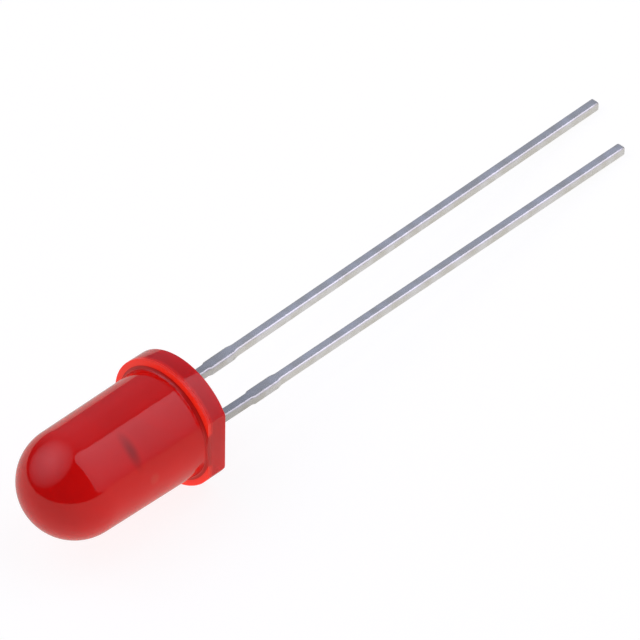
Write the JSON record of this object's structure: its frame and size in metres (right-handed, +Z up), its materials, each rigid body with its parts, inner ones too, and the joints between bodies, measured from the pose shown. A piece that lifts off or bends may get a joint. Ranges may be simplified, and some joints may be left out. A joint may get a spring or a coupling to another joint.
{
  "type": "through hole led",
  "caption": "Round 5 mm light-emitting diode: red diffused epoxy lens with a flange and a cathode flat, on two long square tinned leads.",
  "frame": {"origin": "centre of the bounding box's bottom face, on the table that the LED lies on", "axes": "+X from the dome to the lead tips along the table, +Y towards the anode's side, so that the cathode's flat faces -Y, +Z up"},
  "size_m": [0.0358, 0.0056, 0.006],
  "materials": {
    "red_diffused_epoxy": "gloss",
    "tinned_steel": "satin",
    "silver_epoxy": "matt",
    "semiconductor": "satin",
    "gold": "polished"
  },
  "bodies": {
    "root": {"lens": "red_diffused_epoxy", "cathode_lead": "tinned_steel", "anode_lead": "tinned_steel", "die_attach": "silver_epoxy", "led_die": "semiconductor", "bond_wire": "gold"}
  },
  "joints": []
}
